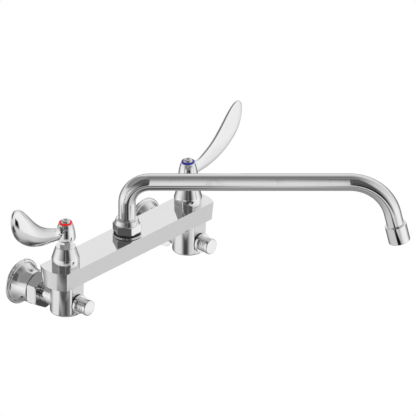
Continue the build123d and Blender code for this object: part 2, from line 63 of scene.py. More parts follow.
def addCamera():
    data = bpy.data.cameras.new("photoCamera")
    data.lens = cameraSet["lens"]
    data.sensor_width = cameraSet["sensor"]
    data.clip_end = cameraSet["clipEnd"]
    camera = bpy.data.objects.new("photoCamera", data)
    scene.collection.objects.link(camera)
    look = lookAlong.normalized()
    target = spoutSpot + toRight * cameraSet["right"] + toTop * cameraSet["up"]
    camera.location = target - look * cameraSet["distance"]
    camera.rotation_euler = look.to_track_quat("-Z", "Y").to_euler()
    scene.camera = camera

addCamera()


# node helpers

mirror = 0.88  # what polished chrome gives back

def shown(value):  # linear strength of a display value from 0 to 255
    c = value / 255
    return c / 12.92 if c <= 0.04045 else ((c + 0.055) / 1.055) ** 2.4

def inChrome(value):  # strength that polished chrome shows as this display value
    return shown(value) / mirror

def addNode(tree, kind, place=(0, 0), **values):  # in0, in1 and so on are the node's inputs
    node = tree.nodes.new(kind)
    node.location = place
    for key, value in values.items():
        if key.startswith("in") and key[2:].isdigit():
            node.inputs[int(key[2:])].default_value = value
        else:
            setattr(node, key, value)
    return node

def mathNode(tree, operation, first, second=None, third=None):
    node = addNode(tree, "ShaderNodeMath", operation=operation)
    for slot, value in enumerate((first, second, third)):
        if value is None:
            continue
        if isinstance(value, (int, float)):
            node.inputs[slot].default_value = value
        else:
            tree.links.new(value, node.inputs[slot])
    return node.outputs[0]

def dotNode(tree, source, direction):
    node = addNode(tree, "ShaderNodeVectorMath", operation="DOT_PRODUCT", in1=direction)
    tree.links.new(source, node.inputs[0])
    return node.outputs["Value"]

def fadeNode(tree, source, low, high):  # from 0 at low to 1 at high
    node = addNode(tree, "ShaderNodeMapRange", in1=low, in2=high)
    tree.links.new(source, node.inputs[0])
    return node.outputs[0]

def mixColors(tree, amount, first, second):
    node = addNode(tree, "ShaderNodeMix", data_type="RGBA")
    for slot, source in ((0, amount), (6, first), (7, second)):
        tree.links.new(source, node.inputs[slot])
    return node.outputs[2]

def mixShaders(tree, amount, first, second):
    node = addNode(tree, "ShaderNodeMixShader")
    for slot, source in enumerate((amount, first, second)):
        tree.links.new(source, node.inputs[slot])
    return node.outputs[0]

def rampNode(tree, source, stops):  # stops are (place, display value)
    node = addNode(tree, "ShaderNodeValToRGB")
    ramp = node.color_ramp
    for n, (place, value) in enumerate(stops):
        element = ramp.elements[n] if n < 2 else ramp.elements.new(place)
        element.position = place
        level = inChrome(value)
        element.color = (level, level, level, 1)
    tree.links.new(source, node.inputs[0])
    return node.outputs[0]


# studio

# How bright the studio looks in the chrome, by elevation in degrees.
tentFront = [(-90, 145), (-72, 134), (-54, 157), (-39, 190), (-24, 211), (-5, 221), (15, 217), (28, 204),
             (40, 185), (53, 159), (66, 136), (90, 112)]
tentSide = [(-90, 140), (-70, 140), (-50, 175), (-36, 202), (-27, 223), (-10, 240), (10, 220), (30, 205),
            (45, 195), (60, 165), (75, 130), (90, 112)]
tentRight = [(-90, 95), (-60, 100), (-48, 130), (-40, 188), (-34, 202), (-30, 206), (-27.5, 236), (-10, 242),
             (10, 220), (30, 205), (45, 195), (60, 165), (75, 130), (90, 112)]
tentBehind = [(-90, 142), (-68, 150), (-45, 112), (-26, 100), (-8, 108), (6, 170), (15, 212), (26, 226),
              (38, 214), (52, 210), (66, 165), (78, 130), (90, 112)]
# Where one part of the tent fades into the next, in degrees from the camera, the half width of the
# panels' slit, and the plain light that everything but a reflection gets.
studioSet = {"frontEnds": 35, "sideStarts": 62, "rightStarts": 72, "rightFull": 88, "behindStarts": 98,
             "behindFull": 140, "slit": 1.0, "diffuse": 0.8, "backdrop": 1.0}
# Dark panels of the tent, in degrees right of the camera and up. A slit in the middle of the first
# three leaves the spout's run light.
panels = {
    "hubPanel": {"left": (-28, -6), "right": (20, 46), "low": (-23, -17), "high": (0, 5),
                 "shade": 34, "slit": True},
    "bonnetPanel": {"left": (-70, -12), "right": (26, 52), "low": (-1, 5), "high": (20, 26),
                    "shade": 66, "slit": True},
    "upperPanel": {"left": (-64, -50), "right": (30, 44), "low": (14, 24), "high": (60, 72),
                   "shade": 85, "slit": True},
    "leftPanel": {"left": (-165, -150), "right": (-64, -50), "low": (14, 24), "high": (62, 74),
                  "shade": 136, "slit": False},
}

def addTent():
    s = studioSet
    world = bpy.data.worlds.new("studio")
    scene.world = world
    world.use_nodes = True
    tree = world.node_tree
    tree.nodes.clear()
    coords = addNode(tree, "ShaderNodeTexCoord").outputs["Generated"]
    split = addNode(tree, "ShaderNodeSeparateXYZ")
    tree.links.new(coords, split.inputs[0])
    height = mathNode(tree, "ARCSINE", split.outputs["Z"])
    place = mathNode(tree, "MULTIPLY_ADD", height, 1 / pi, 0.5)
    raised = mathNode(tree, "MULTIPLY", height, 180 / pi)
    turn = mathNode(tree, "ARCTAN2", dotNode(tree, coords, toRight), dotNode(tree, coords, toCamera))
    signed = mathNode(tree, "MULTIPLY", turn, 180 / pi)
    apart = mathNode(tree, "ABSOLUTE", signed)
    def byElevation(stops):
        return rampNode(tree, place, [((elevation + 90) / 180, value) for elevation, value in stops])
    level = byElevation(tentFront)
    for source, starts, full, stops in ((apart, "frontEnds", "sideStarts", tentSide),
                                        (signed, "rightStarts", "rightFull", tentRight),
                                        (apart, "behindStarts", "behindFull", tentBehind)):
        level = mixColors(tree, fadeNode(tree, source, s[starts], s[full]), level, byElevation(stops))
    slit = fadeNode(tree, apart, s["slit"] / 2, s["slit"])
    for panel in panels.values():
        edges = [fadeNode(tree, signed, *panel["left"]), fadeNode(tree, signed, *reversed(panel["right"])),
                 fadeNode(tree, raised, *panel["low"]), fadeNode(tree, raised, *reversed(panel["high"]))]
        cover = slit if panel["slit"] else edges[0]
        for edge in edges:
            cover = mathNode(tree, "MULTIPLY", cover, edge)
        dark = addNode(tree, "ShaderNodeRGB")
        dark.outputs[0].default_value = (inChrome(panel["shade"]),) * 3 + (1,)
        level = mixColors(tree, cover, level, dark.outputs[0])
    tent = addNode(tree, "ShaderNodeBackground")
    tree.links.new(level, tent.inputs[0])
    plain = addNode(tree, "ShaderNodeBackground", in0=(1, 1, 1, 1), in1=s["diffuse"])
    white = addNode(tree, "ShaderNodeBackground", in0=(1, 1, 1, 1), in1=s["backdrop"])
    rays = addNode(tree, "ShaderNodeLightPath")
    seen = mixShaders(tree, rays.outputs["Is Glossy Ray"], plain.outputs[0], tent.outputs[0])
    seen = mixShaders(tree, rays.outputs["Is Camera Ray"], seen, white.outputs[0])
    out = addNode(tree, "ShaderNodeOutputWorld")
    tree.links.new(seen, out.inputs[0])

addTent()

floorSet = {"height": -0.08, "radius": 6, "around": 96, "color": 0.82, "roughness": 0.9, "backdrop": 1.0}
# The floor is pale to the camera, with dark wedges painted into it that only the polished chrome mirrors:
# painted dark reflections that lay the dark bands on the riser, the valve bodies, the hot blade and the
# outlet. Each wedge points away from a start, which lies right of the spout's axis and towards the camera
# from it, and turns from the camera's direction. Full and gone are slants beside its middle line.
darkReflectionWedges = {
    "riserDarkReflection": {"right": 0.0, "ahead": 0.0, "turn": -18, "full": 0.20, "gone": 0.70,
                  "near": 0.265, "far": 0.40, "shade": 92},
    "riserCore": {"right": 0.0, "ahead": 0.0, "turn": 9, "full": 0.08, "gone": 0.34,
                  "near": 0.265, "far": 0.40, "shade": 40},
    "hotBodyDarkReflection": {"right": -0.0676, "ahead": 0.0759, "turn": 0, "full": 0.0, "gone": 1.25,
                "near": 0.085, "far": 0.215, "shade": 68},
    "coldBodyDarkReflection": {"right": 0.0676, "ahead": -0.0759, "turn": -17, "full": 0.18, "gone": 0.62,
                 "near": 0.085, "far": 0.215, "shade": 68},
    "bladeDarkReflection": {"right": -0.130, "ahead": 0.06, "turn": 0, "full": 0.30, "gone": 0.60,
                  "near": 0.05, "far": 0.16, "shade": 96},
    "outletDarkReflection": {"right": 0.3012, "ahead": 0.0, "turn": 3, "full": 0.22, "gone": 0.52,
                   "near": 0.19, "far": 0.31, "shade": 12},
}
reflectionWedgeEdge = {"near": 0.02, "far": 0.03, "smallest": 0.001}  # soft ends of a wedge, and its tip

def reflectionWedgeCover(tree, points, reflectionWedge):  # how much of a painted dark reflection wedge lies at a point of the floor
    turn = radians(reflectionWedge["turn"])
    start = toRight * reflectionWedge["right"] + toCamera * reflectionWedge["ahead"] + Vector((0, axisY, 0))
    along = toRight * sin(turn) + toCamera * cos(turn)
    beside = toRight * cos(turn) - toCamera * sin(turn)
    def measure(direction):
        return mathNode(tree, "SUBTRACT", dotNode(tree, points, direction), start.dot(direction))
    distance = mathNode(tree, "MAXIMUM", measure(along), reflectionWedgeEdge["smallest"])
    slant = mathNode(tree, "ABSOLUTE", mathNode(tree, "DIVIDE", measure(beside), distance))
    cover = fadeNode(tree, slant, reflectionWedge["gone"], reflectionWedge["full"])
    nearEnd = fadeNode(tree, distance, reflectionWedge["near"], reflectionWedge["near"] + reflectionWedgeEdge["near"])
    farEnd = fadeNode(tree, distance, reflectionWedge["far"], reflectionWedge["far"] - reflectionWedgeEdge["far"])
    return mathNode(tree, "MULTIPLY", mathNode(tree, "MULTIPLY", cover, nearEnd), farEnd)

def addFloor():
    s = floorSet
    bpy.ops.mesh.primitive_circle_add(vertices=s["around"], radius=s["radius"], fill_type="NGON",
                                      location=(0, 0, s["height"]))
    floor = bpy.context.object
    floor.name = "studioFloor"
    material = bpy.data.materials.new("paleFloor")
    material.use_nodes = True
    tree = material.node_tree
    shader = tree.nodes["Principled BSDF"]
    shader.inputs["Base Color"].default_value = (s["color"],) * 3 + (1,)
    shader.inputs["Roughness"].default_value = s["roughness"]
    rays = addNode(tree, "ShaderNodeLightPath")
    surface = addNode(tree, "ShaderNodeNewGeometry")
    white = addNode(tree, "ShaderNodeEmission", in0=(1, 1, 1, 1), in1=s["backdrop"])
    clear = addNode(tree, "ShaderNodeBsdfTransparent")
    mirrored = clear.outputs[0]
    # each wedge is a painted dark reflection: an emission patch that only glossy rays see
    for reflectionWedge in darkReflectionWedges.values():
        level = inChrome(reflectionWedge["shade"])
        dark = addNode(tree, "ShaderNodeEmission", in0=(level, level, level, 1), in1=1.0)
        cover = reflectionWedgeCover(tree, surface.outputs["Position"], reflectionWedge)
        mirrored = mixShaders(tree, cover, mirrored, dark.outputs[0])
    seen = mixShaders(tree, rays.outputs["Is Camera Ray"], shader.outputs[0], white.outputs[0])
    seen = mixShaders(tree, rays.outputs["Is Glossy Ray"], seen, mirrored)
    seen = mixShaders(tree, surface.outputs["Backfacing"], seen, clear.outputs[0])
    tree.links.new(seen, tree.nodes["Material Output"].inputs[0])
    floor.data.materials.append(material)

addFloor()

lamps = {
    "keyLamp": {"place": (-1.1, -1.6, 1.6), "size": 1.4, "power": 26},
    "fillLamp": {"place": (1.6, -1.2, 0.9), "size": 1.4, "power": 14},
}

def addLamps():
    for name, lamp in lamps.items():
        data = bpy.data.lights.new(name, "AREA")
        data.size = lamp["size"]
        data.energy = lamp["power"]
        light = bpy.data.objects.new(name, data)
        scene.collection.objects.link(light)
        light.location = lamp["place"]
        light.rotation_euler = (spoutSpot - light.location).to_track_quat("-Z", "Y").to_euler()
        light.visible_glossy = False

addLamps()
scene.view_settings.view_transform = "Standard"
print("studio ready")


# finishes

number, tone = "NodeSocketFloat", "NodeSocketColor"
polishSet = {"smudge": (0.48, 0.72), "smudgeDim": -0.015, "rub": (260, 260, 2600), "rubDepth": 0.03,
             "blueLift": 0.004, "smoothest": 0.01, "wave": 190.0}
grainSet = {"cloud": 120.0, "cloudFrom": 0.85, "cloudRange": 0.3, "edge": (0.53, 0.62), "edgeWear": 0.5,
            "roughRange": 0.16}

def newGroup(name, sockets):  # a node group that gives a colour, a roughness and a height
    tree = bpy.data.node_groups.new(name, "ShaderNodeTree")
    for label, kind, value in sockets:
        tree.interface.new_socket(label, in_out="INPUT", socket_type=kind).default_value = value
    for label, kind in (("Color", tone), ("Roughness", number), ("Height", number)):
        tree.interface.new_socket(label, in_out="OUTPUT", socket_type=kind)
    given = addNode(tree, "NodeGroupInput", (-900, 0))
    coords = addNode(tree, "ShaderNodeTexCoord", (-900, -300)).outputs["Object"]
    return tree, given, coords

def closeGroup(tree, color, rough, height):
    out = addNode(tree, "NodeGroupOutput", (300, 0))
    for label, source in (("Color", color), ("Roughness", rough), ("Height", height)):
        tree.links.new(source, out.inputs[label])
    return tree

def polishGroup():  # smudges, fine rub marks and a very slight waviness of plated metal
    s = polishSet
    tree, given, coords = newGroup("polishMarks", (
        ("Tone", number, 0.88), ("Smooth", number, 0.04), ("Smudged", number, 0.09),
        ("Smudge Size", number, 45.0), ("Warmth", number, 0.0)))
    cloud = addNode(tree, "ShaderNodeTexNoise", (-600, 100), in3=3.0, in4=0.55)
    tree.links.new(coords, cloud.inputs["Vector"])
    tree.links.new(given.outputs["Smudge Size"], cloud.inputs["Scale"])
    smudge = addNode(tree, "ShaderNodeMapRange", (-400, 100), interpolation_type="SMOOTHSTEP",
                     in1=s["smudge"][0], in2=s["smudge"][1])
    tree.links.new(cloud.outputs[0], smudge.inputs[0])
    stretched = addNode(tree, "ShaderNodeMapping", (-700, -300))
    stretched.inputs["Scale"].default_value = s["rub"]
    tree.links.new(coords, stretched.inputs["Vector"])
    rub = addNode(tree, "ShaderNodeTexNoise", (-500, -300), in2=1.0, in3=2.0)
    tree.links.new(stretched.outputs[0], rub.inputs["Vector"])
    rubbed = mathNode(tree, "MULTIPLY_ADD", rub.outputs[0], s["rubDepth"], -s["rubDepth"] / 2)
    spread = mathNode(tree, "SUBTRACT", given.outputs["Smudged"], given.outputs["Smooth"])
    rough = mathNode(tree, "MULTIPLY_ADD", smudge.outputs[0], spread, given.outputs["Smooth"])
    rough = mathNode(tree, "MAXIMUM", mathNode(tree, "ADD", rough, rubbed), s["smoothest"])
    dimmed = mathNode(tree, "MULTIPLY_ADD", smudge.outputs[0], s["smudgeDim"], given.outputs["Tone"])
    warm = mathNode(tree, "ADD", dimmed, given.outputs["Warmth"])
    color = addNode(tree, "ShaderNodeCombineColor", (0, 200))
    for slot, source in enumerate((warm, dimmed, mathNode(tree, "ADD", dimmed, s["blueLift"]))):
        tree.links.new(source, color.inputs[slot])
    wave = addNode(tree, "ShaderNodeTexNoise", (-500, -600), in2=s["wave"], in3=1.0)
    tree.links.new(coords, wave.inputs["Vector"])
    return closeGroup(tree, color.outputs[0], rough, wave.outputs[0])

def grainGroup():  # moulded or pressed surface: cloudy colour, pale edges, fine pits
    s = grainSet
    tree, given, coords = newGroup("pressedGrain", (
        ("Color", tone, (0.5, 0.5, 0.5, 1)), ("Edge Color", tone, (0.6, 0.6, 0.6, 1)),
        ("Roughness", number, 0.5), ("Grain Size", number, 900.0)))
    cloud = addNode(tree, "ShaderNodeTexNoise", (-600, 100), in2=s["cloud"], in3=4.0)
    tree.links.new(coords, cloud.inputs["Vector"])
    grain = addNode(tree, "ShaderNodeTexNoise", (-600, -200), in3=2.0)
    tree.links.new(coords, grain.inputs["Vector"])
    tree.links.new(given.outputs["Grain Size"], grain.inputs["Scale"])
    shape = addNode(tree, "ShaderNodeNewGeometry", (-600, -500))
    edge = fadeNode(tree, shape.outputs["Pointiness"], *s["edge"])
    mottled = addNode(tree, "ShaderNodeHueSaturation", (-300, 200))
    tree.links.new(given.outputs["Color"], mottled.inputs["Color"])
    value = mathNode(tree, "MULTIPLY_ADD", cloud.outputs[0], s["cloudRange"], s["cloudFrom"])
    tree.links.new(value, mottled.inputs["Value"])
    worn = mathNode(tree, "MULTIPLY", edge, s["edgeWear"])
    color = mixColors(tree, worn, mottled.outputs[0], given.outputs["Edge Color"])
    lowest = mathNode(tree, "SUBTRACT", given.outputs["Roughness"], s["roughRange"] / 2)
    rough = mathNode(tree, "MULTIPLY_ADD", grain.outputs[0], s["roughRange"], lowest)
    return closeGroup(tree, color, rough, grain.outputs[0])

polishMarks = polishGroup()
pressedGrain = grainGroup()

# Each finish: its marks with their values, the shader's own values, bump strength and depth, and a
# tint that plain metal gets over its marks.
metal = {"Metallic": 1.0}
finishSet = {
    "polished_chrome": {"name": "polishedChrome", "marks": polishMarks, "shader": metal,
                        "bump": (0.12, 0.00002),
                        "values": {"Tone": mirror, "Smooth": 0.035, "Smudged": 0.07}},
    "handle_chrome": {"name": "handleChrome", "marks": polishMarks, "shader": metal, "bump": (0.12, 0.00002),
                      "values": {"Tone": mirror, "Smooth": 0.04, "Smudged": 0.09, "Smudge Size": 70.0}},
    "screw_chrome": {"name": "screwChrome", "marks": polishMarks, "shader": metal, "bump": (0.2, 0.00002),
                     "values": {"Tone": 0.8, "Smooth": 0.09, "Smudged": 0.16, "Smudge Size": 200.0}},
    "plain_brass": {"name": "machinedBrass", "marks": polishMarks, "shader": metal, "bump": (0.3, 0.00003),
                    "tint": (1.0, 1.0, 0.56, 1),
                    "values": {"Tone": 0.55, "Smooth": 0.2, "Smudged": 0.36, "Smudge Size": 160.0,
                               "Warmth": 0.18}},
    "black_rubber": {"name": "blackRubber", "marks": pressedGrain, "shader": {}, "bump": (0.3, 0.0001),
                     "values": {"Color": (0.018, 0.018, 0.018, 1), "Edge Color": (0.045, 0.045, 0.045, 1),
                                "Roughness": 0.62}},
    "fibre_washer": {"name": "pressedFibre", "marks": pressedGrain, "shader": {}, "bump": (0.5, 0.0002),
                     "values": {"Color": (0.33, 0.09, 0.06, 1), "Edge Color": (0.42, 0.16, 0.11, 1),
                                "Roughness": 0.8, "Grain Size": 500.0}},
    "white_ceramic": {"name": "lappedCeramic", "marks": pressedGrain, "shader": {"Coat Weight": 0.3},
                      "bump": (0.1, 0.00002),
                      "values": {"Color": (0.90, 0.89, 0.86, 1), "Edge Color": (0.95, 0.94, 0.92, 1),
                                 "Roughness": 0.16}},
    "white_plastic": {"name": "whiteAcetal", "marks": pressedGrain, "shader": {}, "bump": (0.2, 0.00005),
                      "values": {"Color": (0.86, 0.86, 0.84, 1), "Edge Color": (0.92, 0.92, 0.9, 1),
                                 "Roughness": 0.45}},
    "grey_plastic": {"name": "greyAcetal", "marks": pressedGrain, "shader": {}, "bump": (0.2, 0.00005),
                     "values": {"Color": (0.55, 0.57, 0.58, 1), "Edge Color": (0.66, 0.68, 0.69, 1),
                                "Roughness": 0.45}},
    "index_red": {"name": "indexRed", "marks": pressedGrain, "shader": {"Specular IOR Level": 0.25},
                  "bump": (0.15, 0.00003),
                  "values": {"Color": (0.80, 0.012, 0.006, 1), "Edge Color": (0.85, 0.03, 0.02, 1),
                             "Roughness": 0.3}},
    "index_blue": {"name": "indexBlue", "marks": pressedGrain, "shader": {"Specular IOR Level": 0.25},
                   "bump": (0.15, 0.00003),
                   "values": {"Color": (0.02, 0.02, 0.32, 1), "Edge Color": (0.04, 0.05, 0.4, 1),
                              "Roughness": 0.3}},
}

def finishOf(s):
    material = bpy.data.materials.new(s["name"])
    material.use_nodes = True
    tree = material.node_tree
    shader = tree.nodes["Principled BSDF"]
    for socket, value in s["shader"].items():
        shader.inputs[socket].default_value = value
    marks = addNode(tree, "ShaderNodeGroup", (-500, 0), node_tree=s["marks"])
    for socket, value in s["values"].items():
        marks.inputs[socket].default_value = value
    color = marks.outputs["Color"]
    if "tint" in s:
        tint = addNode(tree, "ShaderNodeMix", (-250, 200), data_type="RGBA", blend_type="MULTIPLY",
                       in0=1.0, in7=s["tint"])
        tree.links.new(color, tint.inputs[6])
        color = tint.outputs[2]
    tree.links.new(color, shader.inputs["Base Color"])
    tree.links.new(marks.outputs["Roughness"], shader.inputs["Roughness"])
    relief = addNode(tree, "ShaderNodeBump", (-250, -300))
    relief.inputs["Strength"].default_value, relief.inputs["Distance"].default_value = s["bump"]
    tree.links.new(marks.outputs["Height"], relief.inputs["Height"])
    tree.links.new(relief.outputs[0], shader.inputs["Normal"])
    return material

finishes = {slot: finishOf(values) for slot, values in finishSet.items()}
for row in frame["record"]["subparts"]:
    mesh = nodes[row["node"]].data
    mesh.materials.clear()
    mesh.materials.append(finishes[row["material_slot"]])
print("finishes ready")


# modelling helpers; pieces are shaped in millimetres about their own axis

facingRoom = Matrix.Rotation(pi / 2, 4, "X")  # local +Z becomes the way into the room
sides = {"hot": -1, "cold": 1}
valveMm = valveX * 1000

def atInlet(side):
    return Matrix.Translation((sides[side] * valveX, 0, 0)) @ facingRoom

def atStop(side):
    return Matrix.Translation((sides[side] * valveX, axisY, 0)) @ facingRoom

def atValve(side, turn=0.0):
    return Matrix.Translation((sides[side] * valveX, axisY, barTop)) @ Matrix.Rotation(turn, 4, "Z")

atBody = Matrix.Translation((0, axisY, 0))
atSpout = Matrix.Translation((0, axisY, barTop)) @ Matrix.Rotation(restTurn, 4, "Z")

def pick(*pieces):
    bpy.ops.object.select_all(action="DESELECT")
    for piece in pieces:
        piece.select_set(True)
    if pieces:
        bpy.context.view_layer.objects.active = pieces[0]

def editMode(on):
    bpy.ops.object.mode_set(mode="EDIT" if on else "OBJECT")

def applyPlace(piece, matrix):
    pick(piece)
    piece.matrix_world = matrix @ piece.matrix_world
    bpy.ops.object.transform_apply(location=True, rotation=True, scale=True)

def cleanUp(piece, merge=0.0005):
    pick(piece)
    editMode(True)
    bpy.ops.mesh.select_all(action="SELECT")
    bpy.ops.mesh.remove_doubles(threshold=merge)
    bpy.ops.mesh.normals_make_consistent(inside=False)
    editMode(False)

def turned(name, profile, around=96):  # (radius, height) corners, joined up into a closed section
    pick()
    pole = 0.02  # smallest radius; the points there are merged at the end
    radius, height = max(profile[0][0], pole), profile[0][1]
    bpy.ops.mesh.primitive_circle_add(vertices=around, radius=radius, location=(0, 0, height))
    piece = bpy.context.object
    piece.name = name
    bpy.ops.object.transform_apply(location=True)
    editMode(True)
    bpy.ops.mesh.select_all(action="SELECT")
    corners = profile[1:]
    if profile[0][0] > pole or profile[-1][0] > pole:
        corners = corners + [profile[0]]
    for nextRadius, nextHeight in corners:
        nextRadius = max(nextRadius, pole)
        bpy.ops.mesh.extrude_region_move(TRANSFORM_OT_translate={"value": (0, 0, nextHeight - height)})
        factor = nextRadius / radius
        bpy.ops.transform.resize(value=(factor, factor, 1), center_override=(0, 0, nextHeight))
        radius, height = nextRadius, nextHeight
    editMode(False)
    cleanUp(piece, 0.045)
    return piece

def drum(radius, low, high, place=None, around=96):
    pick()
    bpy.ops.mesh.primitive_cylinder_add(vertices=around, radius=radius, depth=high - low,
                                        location=(0, 0, (low + high) / 2))
    piece = bpy.context.object
    applyPlace(piece, place or Matrix())
    return piece

def block(middle, size):
    pick()
    bpy.ops.mesh.primitive_cube_add(size=1, location=middle, scale=size)
    return bpy.context.object

def combine(piece, tool, operation):
    pick(piece)
    step = piece.modifiers.new("combine", "BOOLEAN")
    step.solver = "EXACT"
    step.operation = operation
    step.object = tool
    bpy.ops.object.modifier_apply(modifier=step.name)
    bpy.data.objects.remove(tool)
    return piece

def roundEdges(piece, width, segments=3, limit=40, clamp=True):
    pick(piece)
    step = piece.modifiers.new("edgeRound", "BEVEL")
    step.width = width
    step.segments = segments
    step.limit_method = "ANGLE"
    step.angle_limit = radians(limit)
    step.use_clamp_overlap = clamp
    bpy.ops.object.modifier_apply(modifier=step.name)
    return piece

def selectBy(piece, faces=None, edges=None, points=None):  # leaves the piece in edit mode
    pick(piece)
    mesh = piece.data
    for part in (mesh.polygons, mesh.edges, mesh.vertices):
        for item in part:
            item.select = False
    editMode(True)
    bpy.ops.mesh.select_mode(type="FACE" if faces else "EDGE" if edges else "VERT")
    editMode(False)
    if faces:
        for face in mesh.polygons:
            face.select = faces(face)
    elif edges:
        for edge in mesh.edges:
            edge.select = edges(*[mesh.vertices[n].co for n in edge.vertices])
    else:
        for point in mesh.vertices:
            point.select = points(point.co)
    editMode(True)

def settle(piece, name, place, body, slot, *replaced, smooth=32):
    piece.name = name
    piece.data.name = name
    applyPlace(piece, place @ Matrix.Scale(0.001, 4))
    bpy.ops.object.shade_smooth_by_angle(angle=radians(smooth))
    step = piece.modifiers.new("flatFaces", "WEIGHTED_NORMAL")  # broad faces stay flat beside their rounds
    step.keep_sharp = True
    bpy.ops.object.modifier_apply(modifier=step.name)
    piece.data.materials.clear()
    piece.data.materials.append(finishes[slot])
    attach(piece, body)
    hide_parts(*replaced)
    return piece

def copyOf(piece):
    twin = piece.copy()
    twin.data = piece.data.copy()
    scene.collection.objects.link(twin)
    return twin

def settlePair(piece, label, place, body, slot, node, smooth=32):  # one for each side
    for side in sides:
        settle(copyOf(piece), side + label, place(side), body.format(side), slot.format(side),
               f"{side}_{node}", smooth=smooth)
    bpy.data.objects.remove(piece)

# A hexagon cut to the turned shape of its limits, and then bored.
def hexNut(name, corner, low, high, limits, turn, bores, edge, clamp=False):
    pick()
    bpy.ops.mesh.primitive_cylinder_add(vertices=6, radius=corner, depth=high - low + 2,
                                        location=(0, 0, (low + high) / 2), rotation=(0, 0, turn))
    piece = bpy.context.object
    piece.name = name
    bpy.ops.object.transform_apply(location=True, rotation=True)
    combine(piece, turned("nutLimits", limits), "INTERSECT")
    roundEdges(piece, edge, 2, 20, clamp)
    for radius, start, end in bores:
        combine(piece, drum(radius, start, end), "DIFFERENCE")
    cleanUp(piece)
    return piece


# body casting

# A bore is (radius, start, end) along its own axis.
bodySet = {"halfWidth": 20.0, "top": 43.5, "foot": 22.0, "endRadius": 33.6, "endCentre": 94.9, "draft": 1.5,
           "rimRound": 1.0, "barrel": 17.8, "barrelFoot": -14.5, "barrelIn": 8, "barrelRound": 2.0,
           "pad": 19.2, "padFace": 18.5, "padFoot": -12.0, "padIn": 4, "padCorner": 1.5, "padRound": 0.5,
           "padLean": 1.5, "boss": 13.0, "bossReach": 19.0, "bossRound": 0.6,
           "spoutBores": [(7.5, -16.5, 1), (9.6, -8.5, 1)],
           "valveBores": [(11.0, -29.5, 1), (4.5, -43.5, -29.0)],
           "stopBores": [(8.3, 9.5, 19.5), (7.5, -7, 10), (4.4, -11.5, -6.5), (9.5, -20, -11)],
           "gallery": 5.5, "galleryDown": 10.5}

def barSolid():
    s = bodySet
    width, centre = s["halfWidth"], s["endCentre"]
    pick()
    bpy.ops.mesh.primitive_cylinder_add(vertices=288, radius=s["endRadius"], depth=s["top"] - s["foot"],
                                        location=(centre, 0, (s["top"] + s["foot"]) / 2))
    bar = bpy.context.object
    bpy.ops.object.transform_apply(location=True)
    editMode(True)
    for spot, normal in (((centre, 0, 0), (-1, 0, 0)), ((0, width, 0), (0, 1, 0)),
                         ((0, -width, 0), (0, -1, 0))):
        bpy.ops.mesh.select_all(action="SELECT")
        bpy.ops.mesh.bisect(plane_co=spot, plane_no=normal, use_fill=True, clear_outer=True)
    editMode(False)
    selectBy(bar, faces=lambda face: face.normal.x < -0.99)
    bpy.ops.mesh.extrude_region_move(TRANSFORM_OT_translate={"value": (-centre, 0, 0)})
    bpy.ops.mesh.delete(type="FACE")
    editMode(False)
    step = bar.modifiers.new("otherHalf", "MIRROR")
    bpy.ops.object.modifier_apply(modifier=step.name)
    cleanUp(bar)
    selectBy(bar, points=lambda co: co.z < s["foot"] + 0.1)
    narrowing = (1 - s["draft"] / (centre + s["endRadius"]), 1 - s["draft"] / width, 1)
    bpy.ops.transform.resize(value=narrowing, center_override=(0, 0, s["foot"]))
    bpy.ops.mesh.select_all(action="SELECT")
    bpy.ops.mesh.dissolve_limited(angle_limit=radians(0.3))
    editMode(False)
    return roundEdges(bar, s["rimRound"], 4)

def padSolid(x):
    s = bodySet
    high = s["foot"] + s["padIn"]
    tall = high - s["padFoot"]
    pad = block((x, -s["padFace"] / 2, (high + s["padFoot"]) / 2), (s["pad"], s["padFace"], tall))
    bpy.ops.object.transform_apply(location=True, scale=True)
    selectBy(pad, edges=lambda a, b: abs(a.y - b.y) > 1 and a.z < s["padFoot"] + 0.1)
    bpy.ops.mesh.bevel(offset=s["padCorner"], segments=5, affect="EDGES")
    editMode(False)
    selectBy(pad, points=lambda co: co.y < -1)
    bpy.ops.transform.rotate(value=-atan2(s["padLean"], tall), orient_axis="X",
                             center_override=(x, -s["padFace"], high))
    editMode(False)
    return roundEdges(pad, s["padRound"])

def addBody():
    s = bodySet
    body = barSolid()
    print("bar shaped,", len(body.data.polygons), "faces")
    for side in sides.values():
        across = Matrix.Translation((side * valveMm, 0, 0))
        barrel = drum(s["barrel"], s["barrelFoot"], s["foot"] + s["barrelIn"], across, 128)
        combine(body, roundEdges(barrel, s["barrelRound"], 5), "UNION")
        combine(body, padSolid(side * valveMm), "UNION")
        boss = drum(s["boss"], -s["bossReach"], 0, across @ facingRoom)
        combine(body, roundEdges(boss, s["bossRound"]), "UNION")
    onTop = Matrix.Translation((0, 0, s["top"]))
    cutters = [(onTop, bore) for bore in s["spoutBores"]]
    for side in sides.values():
        across = Matrix.Translation((side * valveMm, 0, 0))
        cutters += [(across @ onTop, bore) for bore in s["valveBores"]]
        cutters += [(across @ facingRoom, bore) for bore in s["stopBores"]]
    for place, (radius, low, high) in cutters:
        combine(body, drum(radius, low, high, place, 64), "DIFFERENCE")
    gallery = Matrix.Translation((0, 0, s["top"] - s["galleryDown"])) @ Matrix.Rotation(pi / 2, 4, "Y")
    combine(body, drum(s["gallery"], -valveMm, valveMm, gallery, 48), "DIFFERENCE")
    cleanUp(body)
    settle(body, "faucetBody", atBody, "root", "polished_chrome", "faucet_body", smooth=28)

addBody()
print("body casting ready")


# inlets

flangeSet = {"radius": 25.97, "rim": 3.4, "shoulder": 1.2, "rimStep": 2.6, "curveStep": 4.0, "bell": 19.4,
             "waist": 18.9, "bellLength": 24.0, "hole": 17.2, "wall": 1.8, "throatWall": 1.1, "rings": 9,
             "edge": 0.45, "screwAt": 15.0, "screws": 3, "screw": 2.5, "screwRoom": 0.1, "screwHead": 3.0,
             "screwProud": 1.7, "screwTip": 13.0, "screwSeat": 0.2, "headRound": 0.8, "slot": 0.8}

